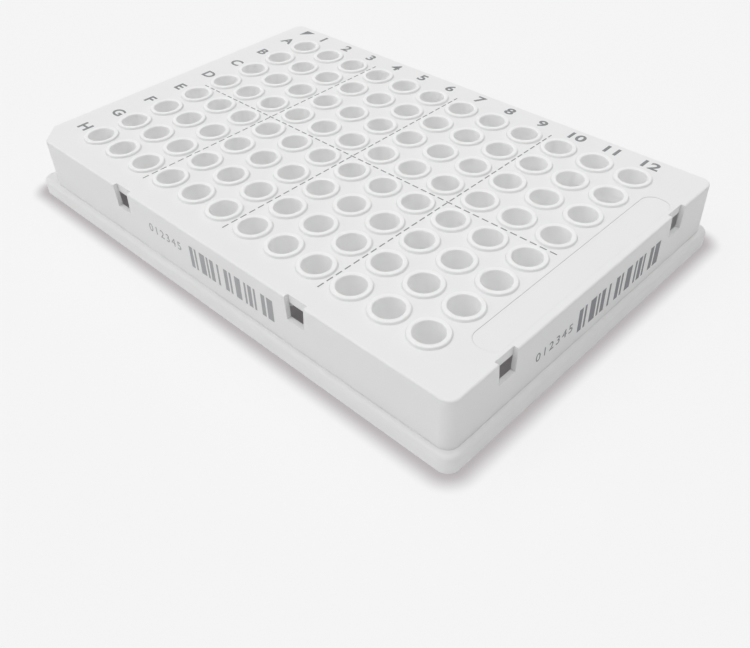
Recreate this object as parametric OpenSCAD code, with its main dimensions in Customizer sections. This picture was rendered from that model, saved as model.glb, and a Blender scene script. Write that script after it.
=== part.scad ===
// Skirted 96-well plate: one injection moulding with a hollow skirt, a pierced deck
// and tapered wells that hang below it. Millimetres, +Z up, origin at the middle of
// the base. Columns run along +X, and row A lies on the +Y side.

/* [Footprint] */
// Overall length of the foot
foot_length = 127.76; // [120:0.01:160]
// Overall width of the foot
foot_width = 85.48; // [80:0.01:110]
// Outer corner radius of the foot
foot_corner_r = 2.6; // [2.3:0.05:4.5]

/* [Heights] */
// Height of the deck above the base
deck_height = 15; // [12:0.1:24]
// Height of the well rims above the deck
rim_height = 0.5; // [0.2:0.05:1]
// Height of the stepped foot
foot_height = 3.8; // [3.2:0.1:6]

/* [Skirt] */
// Distance from the foot's face in to the wall's face
wall_inset = 1.3; // [0.8:0.05:2]
// Thickness of the skirt wall
wall_thickness = 0.95; // [0.8:0.05:1.8]
// Corner radius of the wall at the deck
wall_corner_r = 2.3; // [2:0.1:3.5]
// Lean of the wall faces, in degrees
wall_draft = 1; // [0:0.25:2]
// Radius of the foot's rounded shoulder
shoulder_r = 1.1; // [0.4:0.1:1.3]
// Radius of the edge between deck and wall
deck_edge_r = 0.35; // [0.1:0.05:0.6]
// Leg of the cut-off corner beside well H1
corner_cut = 5.2; // [3:0.1:6]

/* [Deck] */
// Thickness of the deck
deck_thickness = 1.9; // [1:0.1:2.2]
// Width of the label field beside column 12
label_width = 6; // [5.9:0.1:6.4]
// Length of the label field
label_length = 57; // [30:0.5:68]
// Distance from the middle of column 12 to the label field
label_gap = 5.2; // [4.5:0.1:5.4]
// Corner radius of the label field
label_corner_r = 2.6; // [1:0.1:2.9]
// Depth of the label field below the deck
label_depth = 0.08; // [0.05:0.01:0.3]

/* [Wells] */
// Number of columns
columns = 12; // [2:1:12]
// Number of rows
rows = 8; // [2:1:8]
// Distance between well centres
pitch = 9; // [8.5:0.1:9.1]
// Inner radius of a well at its mouth
mouth_r = 2.88; // [2.4:0.01:3.1]
// Outer radius of the raised rim at its top
rim_r = 3.85; // [3.4:0.05:4.1]
// Distance the rim spreads outward down to the deck
rim_flare = 0.12; // [0:0.01:0.15]
// Radius of the rim's edges
rim_edge_r = 0.25; // [0.05:0.01:0.3]
// Depth of the nearly straight upper part of a well
collar_depth = 4.5; // [3:0.1:6]
// Inner radius at the foot of the upper part
collar_r = 2.72; // [2.2:0.01:2.8]
// Inner radius of the rounded bottom
bottom_r = 1.1; // [0.8:0.05:1.6]
// Wall thickness of a well
well_wall = 0.45; // [0.3:0.05:0.7]
// Distance from the base up to the underside of a well
well_clearance = 0.7; // [0.3:0.1:3]

/* [Grip windows] */
// Width of a window at the deck
window_width = 5; // [3:0.1:6]
// Width of a window at its sill
window_sill_width = 4.4; // [2.5:0.1:5]
// Depth of a window below the deck
window_depth = 5; // [3:0.1:6]
// Distance between the two windows of a side
window_spacing = 54; // [30:1:54]

/* [Hidden] */
$fn = 48;

eps = 0.01;
top_height = deck_height + rim_height;
deck_underside = deck_height - deck_thickness;
deck_middle = deck_height - deck_thickness / 2;
draft_lean = tan(wall_draft) * (deck_height - foot_height);

// Outer wall measured at the deck
deck_length = foot_length - 2 * (wall_inset + draft_lean);
deck_width = foot_width - 2 * (wall_inset + draft_lean);

// Inner faces of the skirt, measured at the deck's underside and in the foot
cavity_length = deck_length - 2 * wall_thickness;
cavity_width = deck_width - 2 * wall_thickness;
cavity_corner_r = wall_corner_r - wall_thickness;
foot_cavity_height = foot_height - wall_thickness;
foot_cavity_length = foot_length - 2 * wall_thickness;
foot_cavity_width = foot_width - 2 * wall_thickness;
foot_cavity_corner_r = foot_corner_r - wall_thickness;

// Well levels and radii
bottom_centre_z = well_clearance + well_wall + bottom_r;
collar_z = top_height - collar_depth;
cone_angle = atan((collar_r - bottom_r) / (collar_z - bottom_centre_z));

label_x = (columns - 1) / 2 * pitch + label_gap;

function well_x(column) = (column - (columns - 1) / 2) * pitch;
function well_y(row) = ((rows - 1) / 2 - row) * pitch;

// Sweeps a half profile round a rounded rectangle. The profile's x is the distance out
// from the corner axes, and it fills x = 0 from z_low to z_high.
module rounded_sweep(length, width, corner_r, z_low, z_high) {
    run_x = length - 2 * corner_r;
    run_y = width - 2 * corner_r;
    translate([-run_x / 2, -run_y / 2, z_low])
        cube([run_x, run_y, z_high - z_low]);
    for (side = [0, 1]) {
        rotate([0, 0, 180 * side])
            translate([run_x / 2, run_y / 2, 0])
                rotate([90, 0, 0])
                    linear_extrude(run_y)
                        children();
        rotate([0, 0, 180 * side])
            translate([-run_x / 2, run_y / 2, 0])
                rotate([90, 0, 90])
                    linear_extrude(run_x)
                        children();
    }
    for (corner = [0:3]) {
        x_sign = (corner == 0 || corner == 3) ? 1 : -1;
        y_sign = corner < 2 ? 1 : -1;
        translate([x_sign * run_x / 2, y_sign * run_y / 2, 0])
            rotate([0, 0, 90 * corner])
                rotate_extrude(angle = 90)
                    children();
    }
}

// Half profile of a drafted wall with a rounded top edge
module drafted_profile(top_r, z_low, z_high, edge_r) {
    lean = tan(wall_draft) * (z_high - z_low);
    difference() {
        polygon([[0, z_low], [top_r + lean, z_low], [top_r, z_high], [0, z_high]]);
        if (edge_r > 0)
            translate([top_r - edge_r, z_high - edge_r])
                difference() {
                    square(3 * edge_r);
                    circle(edge_r);
                }
    }
}

// Half profile of the foot with its rounded shoulder
module foot_profile() {
    difference() {
        square([foot_corner_r, foot_height]);
        translate([foot_corner_r - shoulder_r, foot_height - shoulder_r])
            difference() {
                square(2 * shoulder_r);
                circle(shoulder_r);
            }
    }
}

// Removes what lies past the cut-off corner beside H1, from the given distance inside it
module corner_cut_block(inset) {
    block = 4 * corner_cut;
    translate([(corner_cut - deck_length) / 2, (corner_cut - deck_width) / 2, 0])
        rotate([0, 0, 225])
            translate([-inset, -block / 2, -eps])
                cube([block, block, 2 * top_height]);
}

module skirt_and_deck() {
    rounded_sweep(foot_length, foot_width, foot_corner_r, 0, foot_height)
        foot_profile();
    difference() {
        rounded_sweep(deck_length, deck_width, wall_corner_r, foot_height / 2, deck_height)
            drafted_profile(wall_corner_r, foot_height / 2, deck_height, deck_edge_r);
        corner_cut_block(0);
    }
}

module cavity() {
    translate([0, 0, -eps])
        rounded_sweep(foot_cavity_length, foot_cavity_width, foot_cavity_corner_r,
                      0, foot_cavity_height + eps)
            square([foot_cavity_corner_r, foot_cavity_height + eps]);
    difference() {
        rounded_sweep(cavity_length, cavity_width, cavity_corner_r,
                      foot_cavity_height / 2, deck_underside)
            drafted_profile(cavity_corner_r, foot_cavity_height / 2, deck_underside, 0);
        corner_cut_block(wall_thickness);
    }
}

module window_cutter() {
    sill = deck_height - window_depth;
    depth = wall_inset + draft_lean + wall_thickness;
    rotate([90, 0, 90])
        linear_extrude(depth + eps)
            polygon([[-window_sill_width / 2, sill], [window_sill_width / 2, sill],
                     [window_width / 2, deck_height + eps],
                     [-window_width / 2, deck_height + eps]]);
}

// Two windows beside column 12 and two beside row H
module windows() {
    for (place = [-0.5, 0.5]) {
        translate([cavity_length / 2, place * window_spacing, 0])
            window_cutter();
        rotate([0, 0, -90])
            translate([cavity_width / 2, place * window_spacing, 0])
                window_cutter();
    }
}

// Shallow sunk field beside column 12, with rounded ends
module label_field() {
    inner_width = label_width - 2 * label_corner_r;
    inner_length = label_length - 2 * label_corner_r;
    translate([label_x, -label_length / 2, deck_height - label_depth])
        linear_extrude(label_depth + eps)
            union() {
                translate([label_corner_r, 0])
                    square([inner_width, label_length]);
                translate([0, label_corner_r])
                    square([label_width, inner_length]);
                for (dx = [0, inner_width], dy = [0, inner_length])
                    translate([label_corner_r + dx, label_corner_r + dy])
                        circle(label_corner_r);
            }
}

// Outside of one well: the raised rim above the deck and the tapered tube below it
module well_outside() {
    base_r = rim_r + rim_flare;
    rotate_extrude()
        difference() {
            polygon([[0, deck_middle], [base_r, deck_middle], [base_r, deck_height],
                     [rim_r, top_height - rim_edge_r], [rim_r, top_height],
                     [0, top_height]]);
            translate([rim_r - rim_edge_r, top_height - rim_edge_r])
                difference() {
                    square(2 * rim_edge_r);
                    circle(rim_edge_r);
                }
        }
    rotate_extrude()
        well_profile(well_wall, deck_middle);
}

// Half profile of a well's taper and rounded bottom, grown by a wall. The taper's lower
// end dips into the rounded bottom, so the two overlap.
module well_profile(wall, z_high) {
    end_r = bottom_r + wall;
    tangent_r = end_r * cos(cone_angle);
    tangent_z = bottom_centre_z - end_r * sin(cone_angle);
    neck_r = tangent_r + tan(cone_angle) * (collar_z - tangent_z);
    spread = (mouth_r - collar_r) / collar_depth;
    polygon([[0, bottom_centre_z - end_r / 2], [tangent_r, tangent_z], [neck_r, collar_z],
             [neck_r + spread * (z_high - collar_z), z_high], [0, z_high]]);
    intersection() {
        translate([0, bottom_centre_z])
            circle(end_r);
        translate([0, bottom_centre_z - end_r])
            square([end_r, end_r - end_r * sin(cone_angle)]);
    }
}

// Bore of one well with its eased mouth
module well_bore() {
    rotate_extrude() {
        well_profile(0, top_height + eps);
        difference() {
            translate([0, top_height - rim_edge_r])
                square([mouth_r + rim_edge_r, rim_edge_r + eps]);
            translate([mouth_r + rim_edge_r, top_height - rim_edge_r])
                circle(rim_edge_r);
        }
    }
}

module at_wells() {
    for (column = [0:columns - 1], row = [0:rows - 1])
        translate([well_x(column), well_y(row), 0])
            children();
}

module plate() {
    color("whitesmoke")
        difference() {
            union() {
                difference() {
                    skirt_and_deck();
                    cavity();
                    windows();
                    label_field();
                }
                at_wells()
                    well_outside();
            }
            at_wells()
                well_bore();
        }
}

plate();
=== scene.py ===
"""A white skirted well plate: a moulded tray with 96 tapered wells, printed marks and bar codes.

The moulding is the fixed frame's own node with a polypropylene finish. This script adds the ink:
row letters, column numbers, quarter lines, the corner mark and the side codes. Lengths are in
metres on the frame's axes: columns are counted along +X, and row A lies on the +Y side.
"""

import logging
import math
from dataclasses import dataclass, field
from enum import Enum
from typing import Iterator, Sequence

import bmesh
import bpy
from mathutils import Matrix, Vector

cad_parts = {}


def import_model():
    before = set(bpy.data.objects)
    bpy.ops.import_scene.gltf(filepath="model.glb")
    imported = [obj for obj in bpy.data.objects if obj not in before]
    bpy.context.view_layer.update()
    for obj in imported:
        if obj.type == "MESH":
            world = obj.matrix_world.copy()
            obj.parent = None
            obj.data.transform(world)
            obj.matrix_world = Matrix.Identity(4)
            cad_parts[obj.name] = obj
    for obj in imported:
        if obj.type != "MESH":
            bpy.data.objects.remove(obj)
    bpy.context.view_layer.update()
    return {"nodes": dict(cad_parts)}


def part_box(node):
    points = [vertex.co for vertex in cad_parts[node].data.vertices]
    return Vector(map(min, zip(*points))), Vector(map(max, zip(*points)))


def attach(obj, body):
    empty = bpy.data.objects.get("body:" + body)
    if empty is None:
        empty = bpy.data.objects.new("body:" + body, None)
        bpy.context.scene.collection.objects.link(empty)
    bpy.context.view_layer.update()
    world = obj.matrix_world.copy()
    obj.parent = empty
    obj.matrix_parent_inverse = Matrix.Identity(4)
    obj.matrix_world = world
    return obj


MM = 0.001
UP = Vector((0, 0, 1))
BODY = "root"
MOULDING = "plate"
WELL_PITCH = 9.0 * MM

# The Mix node's sockets for colours: its factor, its two colours and its result.
MIX_FACTOR, MIX_FIRST, MIX_SECOND, MIX_RESULT = 0, 6, 7, 2

logging.basicConfig(level=logging.INFO, format="%(levelname)s %(name)s: %(message)s")
LOG = logging.getLogger("well_plate")

Point = tuple[float, float]
Span = tuple[float, float]
Outline = Sequence[Point]
Setting = float | int | bool | str | tuple[float, ...]


# --------------------------------------------------------------------------- colour and nodes


def linear_rgba(hex_code: str) -> tuple[float, float, float, float]:
    """Turns an sRGB hex colour into linear RGBA.

    Args:
        hex_code: A colour such as "#E8E8E6".

    Returns:
        The linear red, green, blue and a full alpha.
    """
    digits = hex_code.lstrip("#")
    channels = [int(digits[start : start + 2], 16) / 255 for start in (0, 2, 4)]
    red, green, blue = (
        c / 12.92 if c <= 0.04045 else ((c + 0.055) / 1.055) ** 2.4 for c in channels
    )
    return (red, green, blue, 1.0)


def add_node(
    tree: bpy.types.NodeTree,
    kind: str,
    settings: dict[str, Setting] | None = None,
    values: dict[str | int, Setting] | None = None,
    links: dict[str | int, bpy.types.NodeSocket] | None = None,
) -> bpy.types.Node:
    """Adds a node with its settings, socket values and incoming links.

    Args:
        tree: The node tree it goes into.
        kind: Blender's type name of the node.
        settings: Properties of the node itself.
        values: Values for its input sockets, by name or number.
        links: Sockets to link into its inputs, by name or number.

    Returns:
        The new node.
    """
    node = tree.nodes.new(kind)
    for name, value in (settings or {}).items():
        setattr(node, name, value)
    for name, value in (values or {}).items():
        node.inputs[name].default_value = value
    for name, socket in (links or {}).items():
        tree.links.new(socket, node.inputs[name])
    return node


def new_material(name: str) -> tuple[bpy.types.Material, bpy.types.NodeTree]:
    """Makes an empty node material.

    Args:
        name: The material's name.

    Returns:
        The material and its emptied node tree.
    """
    material = bpy.data.materials.new(name)
    material.use_nodes = True
    material.node_tree.nodes.clear()
    return material, material.node_tree


# --------------------------------------------------------------------------- finishes


@dataclass(frozen=True)
class MouldedPolypropylene:
    """White polypropylene, injection moulded in a finely blasted tool.

    It is a soft, slightly waxy white: light enters a little way, edges are rounded by the tool,
    and the face has a fine satin grain with faint clouds where the melt flowed.
    """

    colour: str = "#EFEFEF"
    flow_colour: str = "#ECECEC"
    rim_highlight_colour: str = "#F4F4F4"  # painted highlight: the rims' tops are lighter, as light falls on them there
    rim_highlight_levels: Span = (15.15 * MM, 15.4 * MM)
    well_painted_light_colour: str = "#FEFEFE"  # painted light: the wells' insides are brightened to stand in for light reaching them
    deep_shade_colour: str = "#F5F5F5"  # painted shade: the wells are darker towards the bottom
    deep_shade_levels: Span = (10.4 * MM, 13.8 * MM)
    well_scatter: float = 0.6
    well_reach: float = 3.05 * MM
    well_block: Point = (6 * WELL_PITCH, 4 * WELL_PITCH)  # half the block of wells, each way
    well_middle: tuple[float, float, float] = (0.5, 0.5, 0.0)  # of a pitch, as both counts are even
    roughness: float = 0.46
    ior: float = 1.49
    scatter_weight: float = 0.15
    scatter_depth: float = 0.8 * MM
    scatter_radii: tuple[float, float, float] = (1.0, 1.0, 1.0)  # white, so all colours go as deep
    crease_shade_colour: str = "#DCDCDC"  # painted shade: the creases are darkened, as they get less light
    crease_shade_reach: float = 1.2 * MM
    crease_shade_levels: Span = (0.35, 0.85)
    crease_shade_samples: int = 8
    ledge_shade_colour: str = "#E3E3E3"  # painted shade: the foot's ledge is darkened where it faces up
    ledge_shade_level: float = 3.9 * MM
    edge_radius: float = 0.16 * MM
    edge_samples: int = 4
    grain_size: float = 0.35 * MM  # a real blasted grain is finer; this is as fine as shows
    grain_detail: float = 1.0
    grain_height: float = 0.004 * MM
    flow_size: float = 14 * MM
    flow_detail: float = 2.0
    flow_roughness: float = 0.45

    def inside_well(
        self, tree: bpy.types.NodeTree, place: bpy.types.NodeSocket
    ) -> bpy.types.NodeSocket:
        """Finds the surfaces inside the wells.

        Args:
            tree: The material's node tree.
            place: The position on the plate.

        Returns:
            A socket that is 1 inside a well's radius and 0 elsewhere.
        """
        pitches = add_node(
            tree,
            "ShaderNodeVectorMath",
            settings={"operation": "MULTIPLY"},
            values={1: (1 / WELL_PITCH, 1 / WELL_PITCH, 0.0)},
            links={0: place},
        )
        within = add_node(
            tree,
            "ShaderNodeVectorMath",
            settings={"operation": "FRACTION"},
            links={0: pitches.outputs[0]},
        )
        off_axis = add_node(
            tree,
            "ShaderNodeVectorMath",
            settings={"operation": "DISTANCE"},
            values={1: self.well_middle},
            links={0: within.outputs[0]},
        )
        near = add_node(
            tree,
            "ShaderNodeMath",
            settings={"operation": "LESS_THAN"},
            values={1: self.well_reach / WELL_PITCH},
            links={0: off_axis.outputs["Value"]},
        ).outputs[0]
        spread = add_node(
            tree, "ShaderNodeVectorMath", settings={"operation": "ABSOLUTE"}, links={0: place}
        )
        sides = add_node(tree, "ShaderNodeSeparateXYZ", links={"Vector": spread.outputs[0]}).outputs
        for side, reach in zip(("X", "Y"), self.well_block):
            inside = add_node(
                tree,
                "ShaderNodeMath",
                settings={"operation": "LESS_THAN"},
                values={1: reach},
                links={0: sides[side]},
            )
            near = add_node(
                tree,
                "ShaderNodeMath",
                settings={"operation": "MULTIPLY"},
                links={0: near, 1: inside.outputs[0]},
            ).outputs[0]
        return near

    def build(self) -> bpy.types.Material:
        """Builds the material.

        Returns:
            The finished material.
        """
        material, tree = new_material("moulded_polypropylene")
        place = add_node(tree, "ShaderNodeTexCoord").outputs["Object"]
        flow = add_node(
            tree,
            "ShaderNodeTexNoise",
            values={
                "Scale": 1 / self.flow_size,
                "Detail": self.flow_detail,
                "Roughness": self.flow_roughness,
            },
            links={"Vector": place},
        )
        tint = add_node(
            tree,
            "ShaderNodeMix",
            settings={"data_type": "RGBA"},
            values={MIX_FIRST: linear_rgba(self.colour), MIX_SECOND: linear_rgba(self.flow_colour)},
            links={MIX_FACTOR: flow.outputs["Fac"]},
        )
        height = add_node(tree, "ShaderNodeSeparateXYZ", links={"Vector": place}).outputs["Z"]
        # painted highlight: surfaces at rim height are mixed towards a lighter colour
        rim_highlight_mask = add_node(
            tree,
            "ShaderNodeMapRange",
            values={"From Min": self.rim_highlight_levels[0], "From Max": self.rim_highlight_levels[1]},
            links={"Value": height},
        )
        rim_highlighted = add_node(
            tree,
            "ShaderNodeMix",
            settings={"data_type": "RGBA"},
            values={MIX_SECOND: linear_rgba(self.rim_highlight_colour)},
            links={MIX_FACTOR: rim_highlight_mask.outputs["Result"], MIX_FIRST: tint.outputs[MIX_RESULT]},
        )
        # painted shade: creases that the occlusion finds closed in are mixed towards a darker
        # colour
        openness = add_node(
            tree,
            "ShaderNodeAmbientOcclusion",
            settings={"samples": self.crease_shade_samples, "only_local": True},
            values={"Distance": self.crease_shade_reach},
        )
        open_face = add_node(
            tree,
            "ShaderNodeMapRange",
            values={"From Min": self.crease_shade_levels[0], "From Max": self.crease_shade_levels[1]},
            links={"Value": openness.outputs["AO"]},
        )
        crease_shaded = add_node(
            tree,
            "ShaderNodeMix",
            settings={"data_type": "RGBA"},
            values={MIX_FIRST: linear_rgba(self.crease_shade_colour)},
            links={MIX_FACTOR: open_face.outputs["Result"], MIX_SECOND: rim_highlighted.outputs[MIX_RESULT]},
        )
        # painted shade: low, upward-facing surfaces of the foot's ledge are mixed towards a darker
        # colour
        low = add_node(
            tree,
            "ShaderNodeMath",
            settings={"operation": "LESS_THAN"},
            values={1: self.ledge_shade_level},
            links={0: height},
        )
        facing = add_node(tree, "ShaderNodeNewGeometry").outputs["Normal"]
        facing_up = add_node(tree, "ShaderNodeSeparateXYZ", links={"Vector": facing}).outputs["Z"]
        ledge_shade_mask = add_node(
            tree,
            "ShaderNodeMath",
            settings={"operation": "MULTIPLY", "use_clamp": True},
            links={0: low.outputs[0], 1: facing_up},
        )
        ledge_shaded = add_node(
            tree,
            "ShaderNodeMix",
            settings={"data_type": "RGBA"},
            values={MIX_SECOND: linear_rgba(self.ledge_shade_colour)},
            links={MIX_FACTOR: ledge_shade_mask.outputs[0], MIX_FIRST: crease_shaded.outputs[MIX_RESULT]},
        )
        # painted light and shade: the wells' insides are brightened, and darker towards the bottom
        in_well = self.inside_well(tree, place)
        above_deep_shade = add_node(
            tree,
            "ShaderNodeMapRange",
            values={"From Min": self.deep_shade_levels[0], "From Max": self.deep_shade_levels[1]},
            links={"Value": height},
        )
        well_painted_tone = add_node(
            tree,
            "ShaderNodeMix",
            settings={"data_type": "RGBA"},
            values={
                MIX_FIRST: linear_rgba(self.deep_shade_colour),
                MIX_SECOND: linear_rgba(self.well_painted_light_colour),
            },
            links={MIX_FACTOR: above_deep_shade.outputs["Result"]},
        )
        tone = add_node(
            tree,
            "ShaderNodeMix",
            settings={"data_type": "RGBA"},
            links={
                MIX_FACTOR: in_well,
                MIX_FIRST: ledge_shaded.outputs[MIX_RESULT],
                MIX_SECOND: well_painted_tone.outputs[MIX_RESULT],
            },
        )
        scatter = add_node(
            tree,
            "ShaderNodeMapRange",
            values={"To Min": self.scatter_weight, "To Max": self.well_scatter},
            links={"Value": in_well},
        )
        grain = add_node(
            tree,
            "ShaderNodeTexNoise",
            values={"Scale": 1 / self.grain_size, "Detail": self.grain_detail},
            links={"Vector": place},
        )
        rounded = add_node(
            tree,
            "ShaderNodeBevel",
            settings={"samples": self.edge_samples},
            values={"Radius": self.edge_radius},
        )
        bump = add_node(
            tree,
            "ShaderNodeBump",
            values={"Distance": self.grain_height},
            links={"Height": grain.outputs["Fac"], "Normal": rounded.outputs["Normal"]},
        )
        shader = add_node(
            tree,
            "ShaderNodeBsdfPrincipled",
            values={
                "Roughness": self.roughness,
                "IOR": self.ior,
                "Subsurface Radius": self.scatter_radii,
                "Subsurface Scale": self.scatter_depth,
            },
            links={
                "Base Color": tone.outputs[MIX_RESULT],
                "Subsurface Weight": scatter.outputs["Result"],
                "Normal": bump.outputs["Normal"],
            },
        )
        add_node(tree, "ShaderNodeOutputMaterial", links={"Surface": shader.outputs["BSDF"]})
        return material


@dataclass(frozen=True)
class PadPrintInk:
    """Grey two-part ink, pad printed on plastic.

    It lies in a thin matt film that the plastic's grain breaks up a little, so its tone wavers.
    """

    name: str
    colour: str
    worn_colour: str
    roughness: float = 0.55
    ior: float = 1.5
    speckle_size: float = 0.3 * MM
    speckle_detail: float = 2.0

    def build(self) -> bpy.types.Material:
        """Builds the material.

        Returns:
            The finished material.
        """
        material, tree = new_material(self.name)
        place = add_node(tree, "ShaderNodeTexCoord").outputs["Object"]
        speckle = add_node(
            tree,
            "ShaderNodeTexNoise",
            values={"Scale": 1 / self.speckle_size, "Detail": self.speckle_detail},
            links={"Vector": place},
        )
        tone = add_node(
            tree,
            "ShaderNodeMix",
            settings={"data_type": "RGBA"},
            values={MIX_FIRST: linear_rgba(self.colour), MIX_SECOND: linear_rgba(self.worn_colour)},
            links={MIX_FACTOR: speckle.outputs["Fac"]},
        )
        shader = add_node(
            tree,
            "ShaderNodeBsdfPrincipled",
            values={"Roughness": self.roughness, "IOR": self.ior},
            links={"Base Color": tone.outputs[MIX_RESULT]},
        )
        add_node(tree, "ShaderNodeOutputMaterial", links={"Surface": shader.outputs["BSDF"]})
        return material


class Ink(Enum):
    """The inks on the plate."""

    DECK = PadPrintInk("ink_deck_marks", "#77797B", "#8B8D90")
    LONG_SIDE = PadPrintInk("ink_long_side_code", "#A4A4A7", "#ACACAF")
    SHORT_SIDE = PadPrintInk("ink_short_side_code", "#85858A", "#8E8E93")


INK_MATERIALS: dict[Ink, bpy.types.Material] = {}  # each ink's material, built once in main


# --------------------------------------------------------------------------- printing


@dataclass(frozen=True)
class PrintFace:
    """A flat place that takes print: its origin, its reading direction and its up direction."""

    origin: Vector
    across: Vector
    up: Vector

    def matrix(self) -> Matrix:
        """Gives the transform from print coordinates to the plate.

        Returns:
            The 4 by 4 matrix.
        """
        across, up = self.across.normalized(), self.up.normalized()
        turn = Matrix((across, up, across.cross(up))).transposed().to_4x4()
        return Matrix.Translation(self.origin) @ turn


@dataclass
class PrintedMark:
    """A group of printed outlines on one face, made as one thin film of ink."""

    name: str
    face: PrintFace
    ink: Ink
    film: float = 0.02 * MM
    weld: float = 0.0001 * MM  # points nearer than this are one
    letter_spacing: float = 1.0
    letter_stretch: float = 1.25  # the letters are wider than the font's
    letter_weight: float = 0.025  # and bolder, by this share of the font's size
    letter_steps: int = 4
    outlines: list[Outline] = field(default_factory=list)
    words: list[tuple[str, Point, float]] = field(default_factory=list)

    def add_bar(self, low: Point, high: Point) -> None:
        """Adds an upright rectangle between two corners."""
        self.outlines.append([low, (high[0], low[1]), high, (low[0], high[1])])

    def add_outline(self, points: Outline) -> None:
        """Adds a closed outline, counter-clockwise."""
        self.outlines.append(list(points))

    def add_word(self, text: str, middle: Point, height: float) -> None:
        """Adds a word by the middle of its capitals and their height."""
        self.words.append((text, middle, height))

    def _word_into(
        self, target: bmesh.types.BMesh, text: str, middle: Point, height: float
    ) -> None:
        """Turns a word into flat faces and adds them to the mesh.

        Args:
            target: The mesh that takes the letters.
            text: The word.
            middle: Where the middle of the capitals goes.
            height: The height of the capitals.
        """
        curve = bpy.data.curves.new("word", "FONT")
        curve.body = text
        curve.align_x = "CENTER"
        curve.resolution_u = self.letter_steps
        curve.offset = self.letter_weight
        curve.space_character = self.letter_spacing
        holder = bpy.data.objects.new("word", curve)
        bpy.context.scene.collection.objects.link(holder)
        bpy.context.view_layer.update()
        flat = bpy.data.meshes.new_from_object(holder)
        levels = [vert.co.y for vert in flat.vertices]
        scale = height / (max(levels) - min(levels))
        centre = (max(levels) + min(levels)) / 2
        flat.transform(
            Matrix.Translation((middle[0], middle[1], 0.0))
            @ Matrix.Diagonal((scale * self.letter_stretch, scale, 1.0, 1.0))
            @ Matrix.Translation((0.0, -centre, 0.0))
        )
        target.from_mesh(flat)
        bpy.data.objects.remove(holder)
        bpy.data.curves.remove(curve)
        bpy.data.meshes.remove(flat)

    def _thicken(self, flat: bmesh.types.BMesh) -> None:
        """Closes flat faces into a film: a second layer above them, and walls round the edges.

        Args:
            flat: The mesh that is thickened.
        """
        lower_faces = flat.faces[:]
        borders = [edge for edge in flat.edges if edge.is_boundary]
        above = {
            vert: flat.verts.new(vert.co + Vector((0.0, 0.0, self.film))) for vert in flat.verts[:]
        }
        for face in lower_faces:
            flat.faces.new([above[vert] for vert in face.verts])
        for start, end in (edge.verts for edge in borders):
            flat.faces.new((start, end, above[end], above[start]))
        bmesh.ops.recalc_face_normals(flat, faces=flat.faces)

    def build(self) -> None:
        """Builds the film of ink and seats it on the plate."""
        film = bmesh.new()
        for outline in self.outlines:
            film.faces.new([film.verts.new((x, y, 0.0)) for x, y in outline])
        for text, middle, height in self.words:
            self._word_into(film, text, middle, height)
        bmesh.ops.remove_doubles(film, verts=film.verts, dist=self.weld)
        self._thicken(film)
        film.transform(self.face.matrix())
        mesh = bpy.data.meshes.new(self.name)
        film.to_mesh(mesh)
        film.free()
        piece = bpy.data.objects.new(self.name, mesh)
        bpy.context.scene.collection.objects.link(piece)
        mesh.materials.append(INK_MATERIALS[self.ink])
        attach(piece, BODY)
        LOG.info("%s: %d faces of ink", self.name, len(mesh.polygons))


# --------------------------------------------------------------------------- the plate


@dataclass
class WellGrid:
    """The plate's grid of wells, measured from the middle of the deck."""

    columns: int = 12
    rows: int = 8
    pitch: float = WELL_PITCH

    def x(self, column: float) -> float:
        """Gives the x of a column, counted from 0."""
        return (column - (self.columns - 1) / 2) * self.pitch

    def y(self, row: float) -> float:
        """Gives the y of a row, counted from 0 at row A."""
        return ((self.rows - 1) / 2 - row) * self.pitch


@dataclass
class Moulding:
    """The plate's one moulding, which is the frame's own node with its plastic finish."""

    finish: MouldedPolypropylene = MouldedPolypropylene()

    def dress(self, node: bpy.types.Object) -> None:
        """Gives the frame's node its finish.

        Args:
            node: The moulding's object.
        """
        node.data.materials.clear()
        node.data.materials.append(self.finish.build())
        LOG.info("%s: %d faces of plastic", node.name, len(node.data.polygons))


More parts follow.
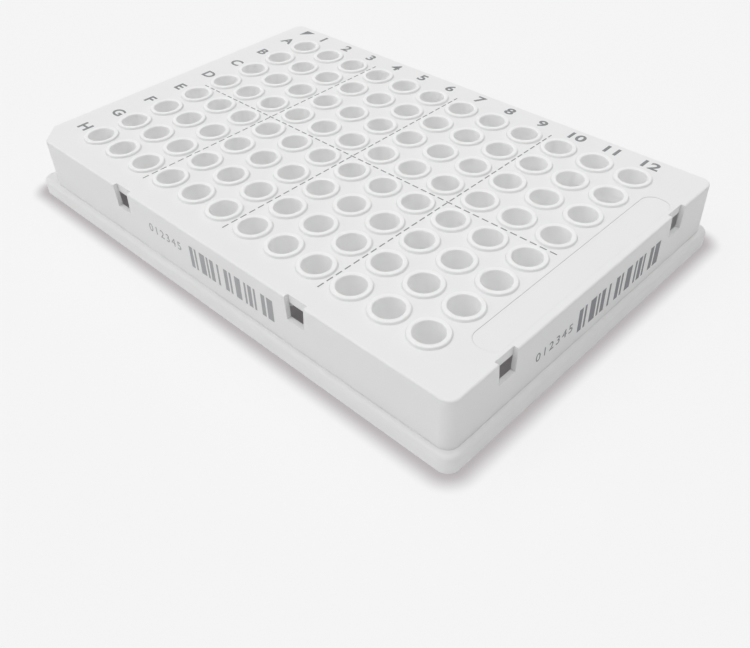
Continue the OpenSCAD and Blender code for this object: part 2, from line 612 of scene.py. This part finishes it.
@dataclass
class DeckMarks:
    """The marks on the deck: row letters, column numbers, quarter lines and the corner mark."""

    deck_z: float
    grid: WellGrid = field(default_factory=WellGrid)
    letter_x: float = -56.45 * MM
    number_y: float = 38.35 * MM
    glyph_height: float = 2.85 * MM
    line_width: float = 0.26 * MM
    dash: float = 1.5 * MM
    gap: float = 0.75 * MM
    long_line: Span = (-52.2 * MM, 53.55 * MM)
    cross_line: Span = (-35.5 * MM, 35.4 * MM)
    quarter_columns: tuple[float, ...] = (2.5, 5.5, 8.5)
    quarter_row: float = 3.5
    corner_mark: tuple[Point, ...] = (
        (-57.3 * MM, 36.4 * MM),
        (-54.3 * MM, 39.5 * MM),
        (-57.3 * MM, 39.5 * MM),
    )

    def face(self) -> PrintFace:
        """Gives the deck as a print face."""
        return PrintFace(Vector((0, 0, self.deck_z)), Vector((1, 0, 0)), Vector((0, 1, 0)))

    def dashes(self, span: Span) -> Iterator[Span]:
        """Splits a line into dashes.

        Args:
            span: The line's two ends.

        Yields:
            The start and end of each dash.
        """
        start = span[0]
        while start < span[1]:
            yield start, min(start + self.dash, span[1])
            start += self.dash + self.gap

    def build_letters(self) -> None:
        """Prints the row letters."""
        mark = PrintedMark("row_letters", self.face(), Ink.DECK)
        for row in range(self.grid.rows):
            mark.add_word(chr(ord("A") + row), (self.letter_x, self.grid.y(row)), self.glyph_height)
        mark.build()

    def build_numbers(self) -> None:
        """Prints the column numbers."""
        mark = PrintedMark("column_numbers", self.face(), Ink.DECK)
        for column in range(self.grid.columns):
            place = (self.grid.x(column), self.number_y)
            mark.add_word(str(column + 1), place, self.glyph_height)
        mark.build()

    def build_lines(self) -> None:
        """Prints the dashed lines that part the wells into blocks."""
        half = self.line_width / 2
        mark = PrintedMark("quarter_lines", self.face(), Ink.DECK)
        middle = self.grid.y(self.quarter_row)
        for start, end in self.dashes(self.long_line):
            mark.add_bar((start, middle - half), (end, middle + half))
        for column in self.quarter_columns:
            middle = self.grid.x(column)
            for start, end in self.dashes(self.cross_line):
                mark.add_bar((middle - half, start), (middle + half, end))
        mark.build()

    def build_corner_mark(self) -> None:
        """Prints the corner mark beside well A1."""
        mark = PrintedMark("corner_mark", self.face(), Ink.DECK)
        mark.add_outline(self.corner_mark)
        mark.build()

    def build(self) -> None:
        """Prints all the deck's marks."""
        self.build_letters()
        self.build_numbers()
        self.build_lines()
        self.build_corner_mark()


@dataclass
class SideCode:
    """A bar code and its plain number on a side of the skirt."""

    name: str
    face: PrintFace
    ink: Ink
    bars: Span
    bar_levels: Span
    number_middle: Point
    number_height: float = 1.9 * MM
    number: str = "012345"
    number_spacing: float = 1.3
    number_stretch: float = 1.1
    number_weight: float = 0.0
    widths: tuple[int, ...] = (  # bars and gaps by turns
        *(2, 1, 1, 2, 3, 1, 1, 1, 2, 2, 1, 3, 2, 1),
        *(1, 2, 3, 2, 1, 1, 2, 1, 1, 3, 2, 1, 3),
    )

    def build(self) -> None:
        """Prints the bars and the number."""
        unit = (self.bars[1] - self.bars[0]) / sum(self.widths)
        code = PrintedMark(f"bar_code_{self.name}", self.face, self.ink)
        start = self.bars[0]
        for count, width in enumerate(self.widths):
            end = start + width * unit
            if count % 2 == 0:
                code.add_bar((start, self.bar_levels[0]), (end, self.bar_levels[1]))
            start = end
        code.build()
        number = PrintedMark(
            f"plain_number_{self.name}",
            self.face,
            self.ink,
            letter_spacing=self.number_spacing,
            letter_stretch=self.number_stretch,
            letter_weight=self.number_weight,
        )
        number.add_word(self.number, self.number_middle, self.number_height)
        number.build()


@dataclass
class WellPlate:
    """The whole plate: its moulding and its print."""

    nodes: dict[str, bpy.types.Object]
    deck_level: float = 15.0 * MM
    wall_inset: float = 1.3 * MM
    foot_height: float = 3.8 * MM
    wall_lean: float = math.radians(1.0)

    def side_face(self, outward: Vector) -> PrintFace:
        """Gives a leaning wall of the skirt as a print face.

        Args:
            outward: The wall's outward direction along an axis.

        Returns:
            A face with its origin at the base level.
        """
        low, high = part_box(MOULDING)
        reach = abs((high if max(outward) > 0 else low).dot(outward)) - self.wall_inset
        reach += math.tan(self.wall_lean) * self.foot_height
        across = UP.cross(outward)
        up = UP - outward * math.tan(self.wall_lean)
        return PrintFace(outward * reach, across, up)

    def build(self) -> None:
        """Dresses the moulding and prints its marks."""
        Moulding().dress(self.nodes[MOULDING])
        DeckMarks(self.deck_level).build()
        SideCode(
            "long_side",
            self.side_face(Vector((0, -1, 0))),
            Ink.LONG_SIDE,
            bars=(-4.0 * MM, 20.9 * MM),
            bar_levels=(6.9 * MM, 11.9 * MM),
            number_middle=(-12.4 * MM, 10.1 * MM),
        ).build()
        SideCode(
            "short_side",
            self.side_face(Vector((1, 0, 0))),
            Ink.SHORT_SIDE,
            bars=(-6.2 * MM, 21.6 * MM),
            bar_levels=(6.0 * MM, 11.2 * MM),
            number_middle=(-13.4 * MM, 8.6 * MM),
        ).build()


# --------------------------------------------------------------------------- the studio


@dataclass
class Studio:
    """The pale floor, the soft light and the camera.

    The floor is mixed from a matt face, which takes the shadows, and an even pale glow.
    """

    contact_reach: float = 4.4 * MM  # how far the painted shadow round the foot spreads
    contact_corner: float = 2.6 * MM
    contact_shadow_colour: str = "#B9B4B6"
    floor_colour: str = "#F3F3F3"
    floor_reach: float = 3.0
    pale_share: float = 0.8
    covered_share: float = 0.09  # the pale share under the plate
    floor_glow: float = 1.04  # stays short of white, because the floor's colour is under it
    backdrop: float = 0.913  # meets the floor's tone at the horizon
    fill: float = 0.2
    top_strength: float = 1.96
    top_angle: float = math.radians(96)
    under_strength: float = 0.55
    under_angle: float = math.radians(50)
    side_strength: float = 0.6
    side_angle: float = math.radians(60)
    side_direction: Vector = field(default_factory=lambda: Vector((0.75, 1.0, -0.65)))
    bounces: int = 10  # light is passed on many times between the white walls of a well
    camera_place: Vector = field(default_factory=lambda: Vector((0.1124926, -0.1058828, 0.105278)))
    camera_ahead: Vector = field(default_factory=lambda: Vector((-0.52882, 0.52090, -0.67008)))
    camera_up: Vector = field(default_factory=lambda: Vector((-0.44964, 0.49767, 0.74172)))
    camera_lens: float = 38.868
    camera_sensor: float = 36.0
    camera_clip: Span = (0.01, 20.0)

    def distance_from_foot(self, tree: bpy.types.NodeTree) -> bpy.types.NodeSocket:
        """Measures how far the floor lies from the plate's foot.

        Args:
            tree: The floor's node tree.

        Returns:
            A socket that rises from 0 at the foot to 1 at the painted shadow's reach.
        """
        _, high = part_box(MOULDING)
        corner = self.contact_corner
        place = add_node(tree, "ShaderNodeTexCoord").outputs["Object"]
        spread = add_node(
            tree, "ShaderNodeVectorMath", settings={"operation": "ABSOLUTE"}, links={0: place}
        )
        past = add_node(
            tree,
            "ShaderNodeVectorMath",
            settings={"operation": "SUBTRACT"},
            values={1: (high[0] - corner, high[1] - corner, 0.0)},
            links={0: spread.outputs[0]},
        )
        outside = add_node(
            tree,
            "ShaderNodeVectorMath",
            settings={"operation": "MAXIMUM"},
            values={1: (0.0, 0.0, 0.0)},
            links={0: past.outputs[0]},
        )
        apart = add_node(
            tree,
            "ShaderNodeVectorMath",
            settings={"operation": "LENGTH"},
            links={0: outside.outputs[0]},
        )
        return add_node(
            tree,
            "ShaderNodeMapRange",
            settings={"interpolation_type": "SMOOTHSTEP"},
            values={"From Min": corner, "From Max": corner + self.contact_reach},
            links={"Value": apart.outputs["Value"]},
        ).outputs["Result"]

    def build_floor(self) -> None:
        """Lays the floor, with a painted shadow round the foot, which can be looked through from
        below.
        """
        material, tree = new_material("studio_floor")
        path = add_node(tree, "ShaderNodeLightPath").outputs
        distance = self.distance_from_foot(tree)
        # painted shadow: the floor darkens towards the foot, by distance alone
        shade = add_node(
            tree,
            "ShaderNodeMix",
            settings={"data_type": "RGBA"},
            values={
                MIX_FIRST: linear_rgba(self.contact_shadow_colour),
                MIX_SECOND: linear_rgba(self.floor_colour),
            },
            links={MIX_FACTOR: distance},
        )
        tone = add_node(
            tree,
            "ShaderNodeMix",
            settings={"data_type": "RGBA"},
            values={MIX_FIRST: linear_rgba(self.floor_colour)},
            links={MIX_FACTOR: path["Is Camera Ray"], MIX_SECOND: shade.outputs[MIX_RESULT]},
        )
        matt = add_node(tree, "ShaderNodeBsdfDiffuse", links={"Color": tone.outputs[MIX_RESULT]})
        uncovered = add_node(
            tree,
            "ShaderNodeMath",
            settings={"operation": "GREATER_THAN"},
            values={1: 0.0},
            links={0: distance},
        )
        share = add_node(
            tree,
            "ShaderNodeMapRange",
            values={"To Min": self.covered_share, "To Max": self.pale_share},
            links={"Value": uncovered.outputs[0]},
        )
        pale = add_node(
            tree,
            "ShaderNodeMath",
            settings={"operation": "MULTIPLY"},
            links={0: path["Is Camera Ray"], 1: share.outputs["Result"]},
        )
        glow = add_node(
            tree,
            "ShaderNodeEmission",
            values={"Strength": self.floor_glow},
            links={"Color": shade.outputs[MIX_RESULT]},
        )
        sheet = add_node(
            tree,
            "ShaderNodeMixShader",
            links={0: pale.outputs[0], 1: matt.outputs[0], 2: glow.outputs[0]},
        )
        clear = add_node(tree, "ShaderNodeBsdfTransparent")
        back = add_node(tree, "ShaderNodeNewGeometry").outputs["Backfacing"]
        through = add_node(
            tree,
            "ShaderNodeMath",
            settings={"operation": "MAXIMUM"},
            links={0: back, 1: path["Is Shadow Ray"]},
        )
        mix = add_node(
            tree,
            "ShaderNodeMixShader",
            links={0: through.outputs[0], 1: sheet.outputs["Shader"], 2: clear.outputs["BSDF"]},
        )
        add_node(tree, "ShaderNodeOutputMaterial", links={"Surface": mix.outputs["Shader"]})
        reach = self.floor_reach
        mesh = bpy.data.meshes.new("floor")
        corners = [(-reach, -reach, 0), (reach, -reach, 0), (reach, reach, 0), (-reach, reach, 0)]
        mesh.from_pydata(corners, [], [(0, 1, 2, 3)])
        mesh.materials.append(material)
        floor = bpy.data.objects.new("floor", mesh)
        bpy.context.scene.collection.objects.link(floor)

    def build_world(self) -> None:
        """Sets a dim even fill, with a pale backdrop where it is seen or mirrored."""
        world = bpy.data.worlds.new("studio")
        bpy.context.scene.world = world
        world.use_nodes = True
        tree = world.node_tree
        tree.nodes.clear()
        path = add_node(tree, "ShaderNodeLightPath").outputs
        looked_through = add_node(
            tree,
            "ShaderNodeMath",
            settings={"operation": "MAXIMUM"},
            links={0: path["Is Camera Ray"], 1: path["Is Transmission Ray"]},
        )
        seen = add_node(
            tree,
            "ShaderNodeMath",
            settings={"operation": "MAXIMUM"},
            links={0: looked_through.outputs[0], 1: path["Is Glossy Ray"]},
        )
        glow = add_node(
            tree, "ShaderNodeBackground", values={"Color": (1, 1, 1, 1), "Strength": self.fill}
        )
        pale = add_node(
            tree, "ShaderNodeBackground", values={"Color": (1, 1, 1, 1), "Strength": self.backdrop}
        )
        mix = add_node(
            tree,
            "ShaderNodeMixShader",
            links={0: seen.outputs[0], 1: glow.outputs[0], 2: pale.outputs[0]},
        )
        add_node(tree, "ShaderNodeOutputWorld", links={"Surface": mix.outputs["Shader"]})

    def add_sun(self, name: str, strength: float, angle: float, toward: Vector) -> None:
        """Adds a broad even light.

        Args:
            name: The light's name.
            strength: Its strength.
            angle: How wide it looks from the plate.
            toward: The direction its light travels in.
        """
        lamp = bpy.data.lights.new(name, "SUN")
        lamp.energy = strength
        lamp.angle = angle
        holder = bpy.data.objects.new(name, lamp)
        holder.rotation_mode = "QUATERNION"
        holder.rotation_quaternion = toward.to_track_quat("-Z", "Y")
        bpy.context.scene.collection.objects.link(holder)

    def build_camera(self) -> None:
        """Places the camera at the front right, looking down."""
        lens = bpy.data.cameras.new("camera")
        lens.lens = self.camera_lens
        lens.sensor_width = self.camera_sensor
        lens.clip_start, lens.clip_end = self.camera_clip
        camera = bpy.data.objects.new("camera", lens)
        ahead = self.camera_ahead.normalized()
        right = ahead.cross(self.camera_up).normalized()
        up = right.cross(ahead)
        turn = Matrix((right, up, -ahead)).transposed().to_4x4()
        camera.matrix_world = Matrix.Translation(self.camera_place) @ turn
        bpy.context.scene.collection.objects.link(camera)
        bpy.context.scene.camera = camera

    def build(self) -> None:
        """Sets up the whole studio."""
        bpy.context.scene.cycles.diffuse_bounces = self.bounces
        self.build_camera()
        self.build_floor()
        self.build_world()
        self.add_sun("top_light", self.top_strength, self.top_angle, -UP)
        self.add_sun("under_light", self.under_strength, self.under_angle, UP)
        self.add_sun("side_light", self.side_strength, self.side_angle, self.side_direction)


def main() -> None:
    """Builds the plate around the frame."""
    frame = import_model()
    bpy.context.scene.view_settings.view_transform = "Standard"
    for ink in Ink:
        INK_MATERIALS[ink] = ink.value.build()
    WellPlate(frame["nodes"]).build()
    Studio().build()


if __name__ == "__main__":
    main()
